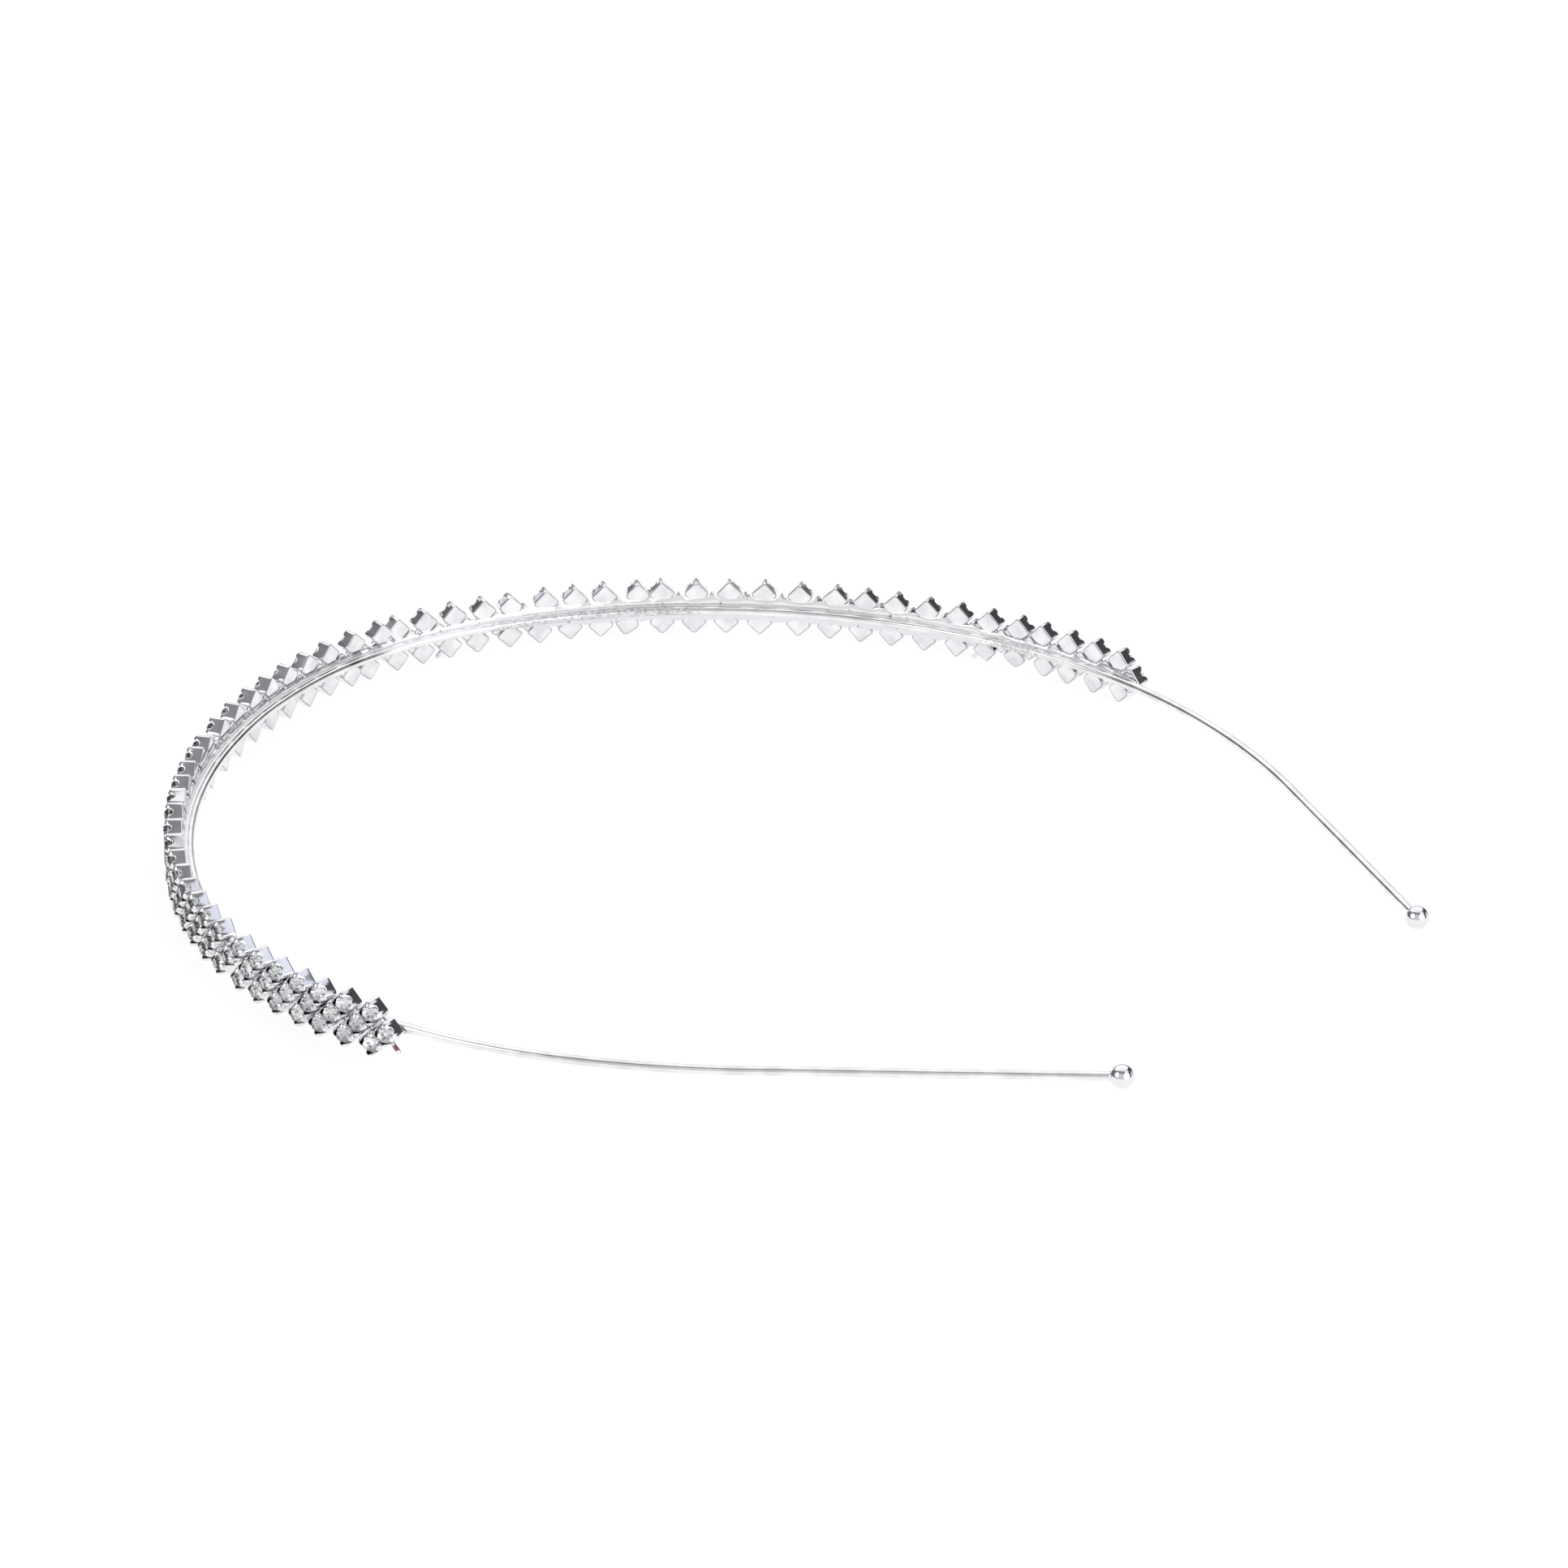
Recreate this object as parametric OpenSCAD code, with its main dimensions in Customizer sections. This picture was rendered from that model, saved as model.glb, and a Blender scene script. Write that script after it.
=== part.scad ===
// Crystal headband: a thin round wire bent to the shape of a head, with a three-row strip of
// square stone cups soldered along its outside and a ball on each bare end.
// It lies on its side. X runs from the crown to the open end, Y across, Z up.

/* [Wire] */
// Diameter of the round wire
wire_d = 1.1; // [0.9:0.05:1.3]
// Diameter of the balls on the two ends
ball_d = 2.85; // [2.4:0.05:3.4]
// Length of the straight stretch at the end of the left arm
left_tail = 38; // [30:1:48]
// Length of the straight stretch at the end of the right arm
right_tail = 42.3; // [30:0.1:48]

/* [Cup strip] */
// Number of cups in the upper row, and in the lower row
stations = 55; // [51:2:57]
// Distance along the wire from one cup of a row to the next, before small differences
pitch = 4.07; // [4:0.01:4.2]
// Side of a square cup
cup_side = 2.35; // [2.2:0.05:2.4]
// Height of the two outer rows above and below the wire, centre to centre
row_rise = 1.92; // [1.75:0.01:2]
// How far the middle of the strip lies from the crown, towards the left arm
strip_shift = 2.5; // [0:0.1:4]
// Thickness of the solder between the wire and the backs of the cups
solder_gap = 0.25; // [0.15:0.05:0.35]

/* [Cups and stones] */
// Height of the cup walls between the prongs
wall_h = 1.35; // [1.1:0.05:1.5]
// Height of the corner prongs
prong_h = 2.15; // [2:0.05:2.3]
// Diameter of a stone at its girdle
stone_d = 2; // [1.8:0.05:2]
// Height of a stone from girdle to table
crown_h = 0.6; // [0.4:0.05:0.7]
// Largest tilt of a cup that isn't set quite straight, in degrees
cup_sway = 2.5; // [0:0.5:4]

/* [Hidden] */

silver = "#dfe1e4";
crystal = "#eef3f8";

// Each arm of the wire, from the crown out: length of the arc, and its radius, or 0 if straight.
LENGTH = 0;
RADIUS = 1;
left_arm = [[20, 45], [40, 69], [66, 75], [24, 91], [left_tail, 0]];
right_arm = [[20, 65], [40, 78], [66, 60], [24, 95], [right_tail, 0]];

// Pose [x, y, heading] after going a length along one row, in a frame where an arm bends to the right
// of its heading, starts at the crown along +Y and curves towards +X
function step(pose, row, length) =
    row[RADIUS] == 0
        ? [pose.x + length * sin(pose.z), pose.y + length * cos(pose.z), pose.z]
        : let (r = row[RADIUS], after = pose.z + length / r * 180 / PI)
            [pose.x + r * (cos(pose.z) - cos(after)), pose.y + r * (sin(after) - sin(pose.z)), after];

// Pose at the start of row k of an arm
function row_start(arm, k) =
    k == 0 ? [0, 0, 0] : step(row_start(arm, k - 1), arm[k - 1], arm[k - 1][LENGTH]);

function arm_length(arm, k = 0) = k == len(arm) ? 0 : arm[k][LENGTH] + arm_length(arm, k + 1);

// Pose at a distance from the crown along an arm
function arm_pose(arm, s, k = 0) =
    s <= arm[k][LENGTH] || k == len(arm) - 1
        ? step(row_start(arm, k), arm[k], s)
        : arm_pose(arm, s - arm[k][LENGTH], k + 1);

// Pose at a signed distance from the crown: the left arm runs towards +Y, the right arm towards -Y
function wire_pose(s) =
    s >= 0
        ? arm_pose(left_arm, s)
        : let (p = arm_pose(right_arm, -s)) [p.x, -p.y, -p.z];

left_end = arm_length(left_arm);
right_end = -arm_length(right_arm);

// Offsets from the wire's centre line, outwards
back_off = wire_d / 2 + solder_gap;
girdle_h = prong_h - 0.35;
stone_top = girdle_h + crown_h;
outer_off = back_off + stone_top;

// The model's origin is the middle of its outline on the ground
sample = [for (s = [right_end : 0.5 : left_end]) wire_pose(s)];
edge_x = [for (p = sample) p.x - outer_off * cos(p.z)];
edge_y = [for (p = sample) p.y + outer_off * sin(p.z)];
tip_x = max(wire_pose(left_end).x, wire_pose(right_end).x) + ball_d / 2;
origin = [(min(edge_x) + tip_x) / 2, (min(edge_y) + max(edge_y)) / 2];

half_diag = cup_side / sqrt(2);

// The strip is soldered from four lengths of cup chain, from the right arm on: the number of cups in a
// row, their spacing, and the distance on to the next length's first cup, both as shares of the pitch
CUPS = 0;
SPACING = 1;
JOIN = 2;
chains = [[21, 0.958, 1.287], [9, 1.022, 0.835], [12, 0.978, 1.03], [stations - 42, 1.027, 0]];

// Distance from the strip's first cup to cup k of the same row
function along(k, c = 0) =
    k < chains[c][CUPS] || c == len(chains) - 1
        ? k * chains[c][SPACING] * pitch
        : ((chains[c][CUPS] - 1) * chains[c][SPACING] + chains[c][JOIN]) * pitch
            + along(k - chains[c][CUPS], c + 1);

strip_start = strip_shift - along(stations - 1) / 2;
strip_end = strip_start + along(stations - 1);

// Place along the wire of cup k in the upper and lower rows, and in the middle row. The middle row's
// cups stand halfway between the others, and it has one more, so one stands alone at each end.
function cup_s(k) = strip_start + along(k);
function middle_s(k) =
    k == 0
        ? strip_start - pitch / 2
        : k == stations
            ? strip_end + pitch / 2
            : (cup_s(k - 1) + cup_s(k)) / 2;

seam_reach = pitch / 2 + half_diag + 0.6;
seam_h = 0.7;

// Overlap of one stretch of wire with the next, and how much slimmer every other one is
lap = 0.1;
hair = 0.01;

// Settings of one cup
floor_t = 0.3;
seat_d = stone_d + 0.12;
slot_w = 1.3;
pavilion_h = 1.15;

// Joining bars between the rows
bar_w = 0.5;
bar_t = 0.4;
bar_lift = 0.25;
bar_bite = 0.11;

// Cut ends of bars left below the strip: the cup's place along the wire, its rise above the wire, the
// way that the wall with the stub faces, how far the stub stands off that wall's middle, and its length
STUB_S = 0;
STUB_RISE = 1;
STUB_FACING = 2;
STUB_SLIDE = 3;
STUB_LENGTH = 4;
stubs = [
    [middle_s(0), 0, -45, -0.9, 1.45],
    [cup_s(6), -row_rise, -135, 0, 0.7],
    [cup_s(32), -row_rise, -45, 0.3, 1.1],
    [cup_s(49), -row_rise, -45, 0.3, 1.1]
];

// A steady value between -1 and 1 for each number, so that the cups sit a little unevenly
function sway(n) = let (v = sin(n * 97.31 + 13.7) * 437.585) 2 * (v - floor(v)) - 1;

// Tilt of a numbered cup about its own X, Y and Z
function tilt(n) = [0.6 * cup_sway * sway(n), 0.6 * cup_sway * sway(n + 200), cup_sway * sway(n + 400)];

// Numbers of the cups in the lower and middle rows follow those of the upper row
LOWER = 60;
MIDDLE = 120;

// How far a tilted cup's lower prong reaches below its centre
function reach_down(t) =
    let (y = half_diag * cos(t.x) + prong_h * sin(t.x), z = prong_h * cos(t.x) - half_diag * sin(t.x))
        y * cos(t.z) - z * sin(t.y) * sin(t.z);

// Height of the wire: the cups of the lower row stand on the ground
wire_z = row_rise + max([for (k = [0 : stations - 1]) max(reach_down(tilt(k + LOWER)), half_diag)]);

// Puts its children at a distance s along the wire, with X along the wire towards the right arm,
// Y up and Z outwards
module on_wire(s, out = 0) {
    p = wire_pose(s);
    translate([p.x - origin.x, p.y - origin.y, wire_z])
        rotate([0, 0, 90 - p.z])
            translate([0, out, 0])
                rotate([90, 0, 180])
                    children();
}

// One cup's place: distance along the wire, rise above it, and the cup's number for its small tilt
module at_cup(s, rise, number) {
    on_wire(s, back_off)
        translate([0, rise, 0])
            rotate(tilt(number))
                children();
}

// All cup places: the upper and lower rows, and the middle row between them
module each_cup() {
    for (k = [0 : stations - 1]) {
        at_cup(cup_s(k), row_rise, k) children();
        at_cup(cup_s(k), -row_rise, k + LOWER) children();
    }
    for (k = [0 : stations])
        at_cup(middle_s(k), 0, k + MIDDLE) children();
}

// Square cup on its corner: a back plate, four low walls and four corner prongs round the stone
module cup() {
    difference() {
        rotate(45)
            translate([-cup_side / 2, -cup_side / 2, 0])
                cube([cup_side, cup_side, prong_h]);
        translate([0, 0, floor_t])
            cylinder(d = seat_d, h = prong_h, $fn = 32);
        for (a = [45, 135])
            rotate(a)
                translate([-cup_side, -slot_w / 2, wall_h])
                    cube([2 * cup_side, slot_w, prong_h]);
    }
}

// Bar between a cup of the middle row and its neighbour above or below, on either side
module bar(length, bite) {
    translate([-bite, -bar_w / 2, bar_lift])
        cube([length + bite, bar_w, bar_t]);
}

module bars() {
    for (k = [0 : stations - 1], side = [0, 1], up = [-1, 1]) {
        s = cup_s(k);
        next = middle_s(k + side);
        gap = (abs(next - s) + row_rise) / sqrt(2) - cup_side;
        on_wire((s + next) / 2, back_off)
            translate([0, up * row_rise / 2, 0])
                rotate(atan2(up, sign(next - s)))
                    translate([-gap / 2, 0, 0])
                        bar(gap + bar_bite, bar_bite);
    }
}

module cut_stubs() {
    for (stub = stubs)
        on_wire(stub[STUB_S], back_off)
            translate([0, stub[STUB_RISE], 0])
                rotate(stub[STUB_FACING])
                    translate([cup_side / 2, stub[STUB_SLIDE], 0])
                        bar(stub[STUB_LENGTH], bar_bite);
}

// One row of an arm table as a bent or straight bar, between two distances along the row, with the
// section that its children draw: X outwards from the wire's centre line, Y up
module sweep(arm, k, from, to) {
    row = arm[k];
    start = step(row_start(arm, k), row, from);
    length = to - from;
    translate([start.x, start.y, 0])
        rotate([0, 0, -start.z])
            if (row[RADIUS] == 0)
                rotate([90, 0, 180])
                    linear_extrude(length)
                        children();
            else
                translate([row[RADIUS], 0, 0])
                    rotate([0, 0, 180])
                        mirror([0, 1, 0])
                            rotate_extrude(angle = length / row[RADIUS] * 180 / PI, $fn = 180)
                                translate([row[RADIUS], 0])
                                    children();
}

// A stretch of an arm from the crown to a distance. Each row laps into the one before it, and every
// other row is a hair slimmer, so that the rows join as solids.
module arm_sweep(arm, to, parity, k = 0, done = 0) {
    if (k < len(arm) && done < to) {
        reach = min(arm[k][LENGTH], to - done);
        $slim = (k + parity) % 2 * hair;
        sweep(arm, k, k + parity == 0 ? 0 : -lap, reach) children();
        arm_sweep(arm, to, parity, k + 1, done + reach) children();
    }
}

// The same section along both arms, out to a distance on each
module both_arms(left_to, right_to) {
    translate([-origin.x, -origin.y, wire_z]) {
        arm_sweep(left_arm, left_to, 0) children();
        mirror([0, 1, 0])
            arm_sweep(right_arm, right_to, 1) children();
    }
}

module wire() {
    both_arms(left_end, -right_end)
        circle(d = wire_d - $slim, $fn = 24);
}

module solder_seam() {
    both_arms(strip_end + seam_reach, seam_reach - strip_start)
        translate([0, -seam_h / 2 + $slim])
            square([back_off + 0.1 - $slim, seam_h - 2 * $slim]);
}

// Soldered metal: the wire, the seam, the cups, the bars and the cut stubs are one solid
module band() {
    color(silver) {
        wire();
        solder_seam();
        each_cup() cup();
        bars();
        cut_stubs();
    }
}

// Round chaton: an eight-sided table, a sixteen-sided girdle and a pointed back
module stone() {
    r = stone_d / 2;
    table_r = 0.56 * r;
    points = concat(
        [for (k = [0 : 7]) [table_r * cos(45 * k), table_r * sin(45 * k), girdle_h + crown_h]],
        [for (k = [0 : 15]) [r * cos(22.5 * k), r * sin(22.5 * k), girdle_h]],
        [[0, 0, girdle_h - pavilion_h]]
    );
    culet = 24;
    faces = concat(
        [[for (k = [7 : -1 : 0]) k]],
        [for (k = [0 : 7]) [k, 8 + 2 * k, 8 + (2 * k + 15) % 16]],
        [for (k = [0 : 7]) [k, 8 + 2 * k + 1, 8 + 2 * k]],
        [for (k = [0 : 7]) [k, (k + 1) % 8, 8 + 2 * k + 1]],
        [for (k = [0 : 15]) [culet, 8 + k, 8 + (k + 1) % 16]]
    );
    polyhedron(points, faces);
}

module stones() {
    color(crystal)
        each_cup() stone();
}

// Smooth ball with a blind hole for the end of the wire, which comes in from the side of the other arm
module ball_tip(s) {
    hole_d = wire_d + 0.1;
    color(silver)
        on_wire(s)
            difference() {
                sphere(d = ball_d, $fn = 48);
                rotate([0, s > 0 ? 90 : -90, 0])
                    translate([0, 0, -0.1])
                        cylinder(d = hole_d, h = ball_d, $fn = 32);
            }
}

module ball_tip_left() {
    ball_tip(left_end);
}

module ball_tip_right() {
    ball_tip(right_end);
}

band();
stones();
ball_tip_left();
ball_tip_right();
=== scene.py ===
# Looks of the crystal headband: a silver-plated wire with ball tips and a three-row strip of small
# foil-backed stones in square prong cups, lying on its side on a white table.
# Lengths are worked out in millimetres and turned to metres where a mesh is made.
import math

import bmesh
import bpy
from mathutils import Euler, Matrix, Vector, noise


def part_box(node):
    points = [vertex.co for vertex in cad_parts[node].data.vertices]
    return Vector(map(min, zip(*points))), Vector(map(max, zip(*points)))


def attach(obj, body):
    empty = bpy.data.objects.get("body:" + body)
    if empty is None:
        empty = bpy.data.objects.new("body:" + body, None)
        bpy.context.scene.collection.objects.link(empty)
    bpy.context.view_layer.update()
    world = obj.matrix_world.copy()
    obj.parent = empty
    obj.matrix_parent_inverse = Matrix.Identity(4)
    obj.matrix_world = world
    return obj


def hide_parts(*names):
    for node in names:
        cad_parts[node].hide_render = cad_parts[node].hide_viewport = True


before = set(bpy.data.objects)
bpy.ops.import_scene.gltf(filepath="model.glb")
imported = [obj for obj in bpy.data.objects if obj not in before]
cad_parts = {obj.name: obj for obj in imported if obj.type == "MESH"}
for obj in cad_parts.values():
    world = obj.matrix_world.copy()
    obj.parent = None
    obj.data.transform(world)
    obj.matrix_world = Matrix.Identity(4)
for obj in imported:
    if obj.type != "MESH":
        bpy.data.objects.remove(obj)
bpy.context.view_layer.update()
BODY = "root"
METAL_SLOT = "silver_plate"
STONE_SLOT = "foiled_crystal"
MM = 0.001

# Wire
WIRE_D = 1.1
WIRE_R = WIRE_D / 2
BALL_D = 2.85
LEFT_TAIL = 38.0
RIGHT_TAIL = 42.3
# Cup strip
PITCH = 4.07
CUP_SIDE = 2.35
ROW_RISE = 1.92
STRIP_SHIFT = 2.5
SOLDER_GAP = 0.25
# Cups and stones, with heights from the back of a cup
WALL_H = 1.45
PRONG_H = 2.15
GIRDLE_H = 1.44
BELT_H = 0.16
CROWN_H = 0.85
PAVILION_H = 1.0
# A cup's corners are rounded, so its walls stand further out than those of a sharp square with the
# same corners
WALL_SIDE = 2.54
# A stone rests on its cup's walls and reaches out between the prongs
GEM_D = 2.3
TABLE_SHARE = 0.52
# Largest turn of a cup that isn't set quite straight, in degrees, and the share of it in a tilt
CUP_SWAY = 2.5
TILT_SHARE = 0.6
# Bars between the cups, and the slightly thicker ends of bars that were cut off
BAR_W = 0.5
BAR_T = 0.4
CUT_BAR_T = 0.42
BAR_LIFT = 0.25

# Lengths of cup chain that the strip is soldered from, from the right arm on: the number of cups in
# a row, their spacing, and the distance on to the next length's first cup, both as shares of the
# pitch
CHAINS = ((21, 0.958, 1.287), (9, 1.022, 0.835), (12, 0.978, 1.03), (13, 1.027, 0))
STATIONS = sum(cups for cups, _, _ in CHAINS)
# How far the hand-set cups stand from an even spacing, in millimetres towards the left arm: cup,
# distance. Between the cups named here it changes evenly.
UPPER_CREEP = (
    (0, 0.0), (2, -0.2), (3, -0.7), (6, -1.2), (7, -0.3), (9, -0.2), (10, -0.6), (13, -0.2),
    (15, 0.5), (19, 0.7), (20, 0.0), (21, 0.1), (23, 1.0), (27, 0.5), (29, 0.9), (30, -0.1),
    (33, 0.1), (34, -0.3), (35, 0.4), (37, 0.0), (38, 0.3), (39, -0.6), (40, -0.2), (42, 0.3),
    (44, 1.1), (46, 0.7), (48, 0.9), (50, 1.1), (51, 0.4), (54, 0.0))
LOWER_CREEP = (
    (0, 0.0), (2, -0.2), (3, -0.7), (6, -1.2), (7, -0.3), (9, -0.2), (10, -0.6), (13, -0.2),
    (15, 0.5), (19, 0.7), (20, 0.0), (21, 0.1), (23, 0.7), (27, 0.3), (28, 0.0), (29, -1.3),
    (30, -0.3), (33, -0.9), (34, -0.5), (37, -0.5), (38, -1.1), (39, -0.6), (42, -0.3), (43, 0.5),
    (46, 0.2), (48, 0.7), (49, 0.5), (51, 0.8), (52, 0.2), (54, 0.2))

# How far the ribbon of solder reaches above and below the wire: distance from the crown, reach. It
# is widest on the left arm, where it fills the corners between the cups.
SEAM_ABOVE = (
    (-115, 0.2), (-75, 0.25), (-60, 0.5), (-38, 0.45), (-20, 0.3), (16, 0.28), (24, 0.45),
    (30, 0.82), (84, 0.82), (93, 0.3), (118, 0.1))
SEAM_BELOW = (
    (-115, 0.3), (-75, 0.3), (-60, 0.6), (-38, 0.5), (-20, -0.2), (16, -0.1), (30, 0.5), (38, 1.0),
    (84, 1.0), (93, 0.4), (118, 0.1))

# Each arm of the wire, from the crown out: length of the arc, and its radius, or 0 if straight
LEFT_ARM = ((20, 45), (40, 69), (66, 75), (24, 91), (LEFT_TAIL, 0))
RIGHT_ARM = ((20, 65), (40, 78), (66, 60), (24, 95), (RIGHT_TAIL, 0))
LEFT_END = sum(length for length, _ in LEFT_ARM)
RIGHT_END = -sum(length for length, _ in RIGHT_ARM)

BACK_OFF = WIRE_R + SOLDER_GAP
SEAM_REACH = PITCH / 2 + 1.5

# Where each small difference between cups or stones starts in the steady pattern of sway()
TILT_X, TILT_Y, TURN_Z = 0, 200, 400
SPIN, ROCK_X, ROCK_Y = 300, 310, 320
SHAPE, SCALE = 600, 700

# Camera, as it stands when the crown is at the origin. The side of the square picture and the focal
# length are in the photograph's pixels.
EYE = (513.05, -596.4, 356.1)
AIM = (61.49, 14.36, 0.45)
FRAME_PX = 1932
FOCAL_PX = 8389
SENSOR_MM = 36.0


def along(k):
    """Distance from the strip's first cup to cup k of the same row."""
    done = 0.0
    for cups, spacing, join in CHAINS:
        if k < cups:
            break
        done += (cups - 1) * spacing + join
        k -= cups
    return (done + k * spacing) * PITCH


STRIP_START = STRIP_SHIFT - along(STATIONS - 1) / 2
STRIP_END = STRIP_START + along(STATIONS - 1)


def crept(table, k):
    """The value at k in a table of places and values, even between the places."""
    for (before, low), (after, high) in zip(table, table[1:]):
        if k <= after:
            return low + (high - low) * (k - before) / (after - before)
    return high


def upper_s(k):
    """Place along the wire of cup k in the upper row."""
    return STRIP_START + along(k) + crept(UPPER_CREEP, k)


def lower_s(k):
    """Place along the wire of cup k in the lower row."""
    return STRIP_START + along(k) + crept(LOWER_CREEP, k)


def middle_s(k):
    """The middle row has one cup more, so one stands alone at each end."""
    if k == 0:
        return STRIP_START - PITCH / 2
    if k == STATIONS:
        return STRIP_END + PITCH / 2
    return (upper_s(k - 1) + upper_s(k) + lower_s(k - 1) + lower_s(k)) / 4


def arm_pose(arm, s):
    """Position and heading at a distance s from the crown, on an arm that bends to its right."""
    x, y, heading = 0.0, 0.0, 0.0
    for k, (length, radius) in enumerate(arm):
        go = s if k == len(arm) - 1 else min(s, length)
        if radius:
            after = heading + go / radius
            x += radius * (math.cos(heading) - math.cos(after))
            y += radius * (math.sin(after) - math.sin(heading))
            heading = after
        else:
            x += go * math.sin(heading)
            y += go * math.cos(heading)
        s -= go
        if s <= 0 and go < length:
            break
    return x, y, heading


def wire_pose(s):
    """The left arm runs towards +Y from the crown, and the right arm is bent towards -Y."""
    if s >= 0:
        return arm_pose(LEFT_ARM, s)
    x, y, heading = arm_pose(RIGHT_ARM, -s)
    return x, -y, -heading


# The left ball of the frame says where the wire lies
ball_low, ball_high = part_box("ball_tip_left")
ball_middle = (ball_low + ball_high) / 2 / MM
left_tip = wire_pose(LEFT_END)
ORIGIN = (left_tip[0] - ball_middle.x, left_tip[1] - ball_middle.y)
WIRE_Z = ball_middle.z


def on_wire(s, out=0.0):
    """Placement on the wire: X along it towards the right arm, Y up, Z outwards. In millimetres."""
    x, y, heading = wire_pose(s)
    return (
        Matrix.Translation((x - ORIGIN[0], y - ORIGIN[1], WIRE_Z))
        @ Matrix.Rotation(math.pi / 2 - heading, 4, "Z")
        @ Matrix.Translation((0, out, 0))
        @ Matrix.Rotation(math.pi, 4, "Z")
        @ Matrix.Rotation(math.pi / 2, 4, "X")
    )


def sway(n):
    """A steady value between -1 and 1 for each number."""
    v = math.sin(math.radians(n * 97.31 + 13.7)) * 437.585
    return 2 * (v - math.floor(v)) - 1


# Number of a row's first cup, its height above the wire, the place of its cups, and how many it has
ROWS = {
    "upper": (0, ROW_RISE, upper_s, STATIONS),
    "lower": (60, -ROW_RISE, lower_s, STATIONS),
    "middle": (120, 0.0, middle_s, STATIONS + 1),
}
# Cups that were knocked or soldered askew: turn about the cup's own X, Y and Z in degrees
KNOCKED = {
    ("lower", 50): (-16, 6, 5),
    ("lower", 49): (-13, -4, -4),
    ("lower", 38): (2, -2, 10),
    ("lower", 29): (0, 2, -3),
    ("upper", 30): (0, -3, 4),
    ("upper", 16): (0, 1, 8),
    ("upper", 13): (0, 1, 8),
}
# Cups that stand higher or lower than their row, in millimetres
SAGGED = {("middle", 0): -0.25}


def cup_place(row, k):
    """Placement of one cup, its back plate in the local XY plane and its mouth towards Z."""
    first, rise, place_s, _ = ROWS[row]
    n = first + k
    turn_x, turn_y, turn_z = KNOCKED.get((row, k), (0, 0, 0))
    lean = Euler((
        math.radians(TILT_SHARE * CUP_SWAY * sway(n + TILT_X) + turn_x),
        math.radians(TILT_SHARE * CUP_SWAY * sway(n + TILT_Y) + turn_y),
        math.radians(CUP_SWAY * sway(n + TURN_Z) + turn_z),
    ))
    rise += SAGGED.get((row, k), 0)
    spot = on_wire(place_s(k), BACK_OFF) @ Matrix.Translation((0, rise, 0))
    return spot @ lean.to_matrix().to_4x4()


# Materials


def linear(hex_text):
    """An sRGB hex colour as linear red, green, blue and alpha."""
    channels = [int(hex_text[k:k + 2], 16) / 255 for k in (1, 3, 5)]
    light = [c / 12.92 if c <= 0.04045 else ((c + 0.055) / 1.055) ** 2.4 for c in channels]
    return (*light, 1.0)


def add(tree, kind, links=(), **settings):
    """Adds a node. Settings name its properties or inputs, and links join (output, input name)."""
    node = tree.nodes.new(kind)
    for name, value in settings.items():
        if hasattr(node, name):
            setattr(node, name, value)
        else:
            node.inputs[name.replace("_", " ")].default_value = value
    for output, name in links:
        tree.links.new(output, node.inputs[name])
    return node


# Most of a noise lies between these two values
NOISE_BAND = (0.35, 0.65)


def surface(name, base, metallic, roughness, **more):
    """A material with one Principled shader. Returns it, and what its patterns need: its tree, its
    shader and its Object coordinates."""
    material = bpy.data.materials.new(name)
    material.use_nodes = True
    tree = material.node_tree
    shader = tree.nodes["Principled BSDF"]
    shader.inputs["Base Color"].default_value = linear(base)
    shader.inputs["Metallic"].default_value = metallic
    shader.inputs["Roughness"].default_value = roughness
    for socket, value in more.items():
        shader.inputs[socket.replace("_", " ")].default_value = value
    return material, (tree, shader, add(tree, "ShaderNodeTexCoord").outputs["Object"])


def vary(made, per_mm, detail, colours=None, band=NOISE_BAND, roughness=None, dent=None, grain=0.5):
    """Varies a surface with a noise that has about this many features in a millimetre: its colour
    from dark to light within a band of the noise, its roughness from low to high, and its height by
    a dent with a depth in millimetres and a strength. Returns the colour."""
    tree, shader, place = made
    pattern = add(tree, "ShaderNodeTexNoise", [(place, "Vector")],
                  Scale=per_mm / MM, Detail=detail, Roughness=grain).outputs["Fac"]
    if roughness:
        spread = add(tree, "ShaderNodeMapRange", [(pattern, "Value")],
                     From_Min=NOISE_BAND[0], From_Max=NOISE_BAND[1],
                     To_Min=roughness[0], To_Max=roughness[1])
        tree.links.new(spread.outputs["Result"], shader.inputs["Roughness"])
    if dent:
        depth, strength = dent
        dented = add(tree, "ShaderNodeBump", [(pattern, "Height")],
                     Strength=strength, Distance=depth * MM)
        tree.links.new(dented.outputs["Normal"], shader.inputs["Normal"])
    if colours:
        ramp = add(tree, "ShaderNodeValToRGB", [(pattern, "Fac")])
        for stop, position, colour in zip(ramp.color_ramp.elements, band, colours):
            stop.position = position
            stop.color = linear(colour)
        tree.links.new(ramp.outputs["Color"], shader.inputs["Base Color"])
        return ramp.outputs["Color"]


def silver_plated_brass():
    """Bright silver plating on pressed brass: a white mirror with faint clouds and dents, and
    painted shade: a dark grey line round the rim of each back plate."""
    material, made = surface("silver_plated_brass", "#e8e8ea", 1.0, 0.07)
    clouds = vary(made, 0.55, 3.0, ("#dcdcdf", "#f0f0f1"), roughness=(0.05, 0.11))
    vary(made, 0.9, 2.0, dent=(0.008, 0.5))
    tree, shader, _ = made
    # Painted shade: the rim mark turns the plating dark grey round the rim of each back plate
    rim = add(tree, "ShaderNodeAttribute", attribute_name="rim")
    painted_rim_shade = add(tree, "ShaderNodeMix", [(rim.outputs["Fac"], "Factor"), (clouds, "A")],
               data_type="RGBA", B=linear("#9c9da1"))
    tree.links.new(painted_rim_shade.outputs["Result"], shader.inputs["Base Color"])
    return material


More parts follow.
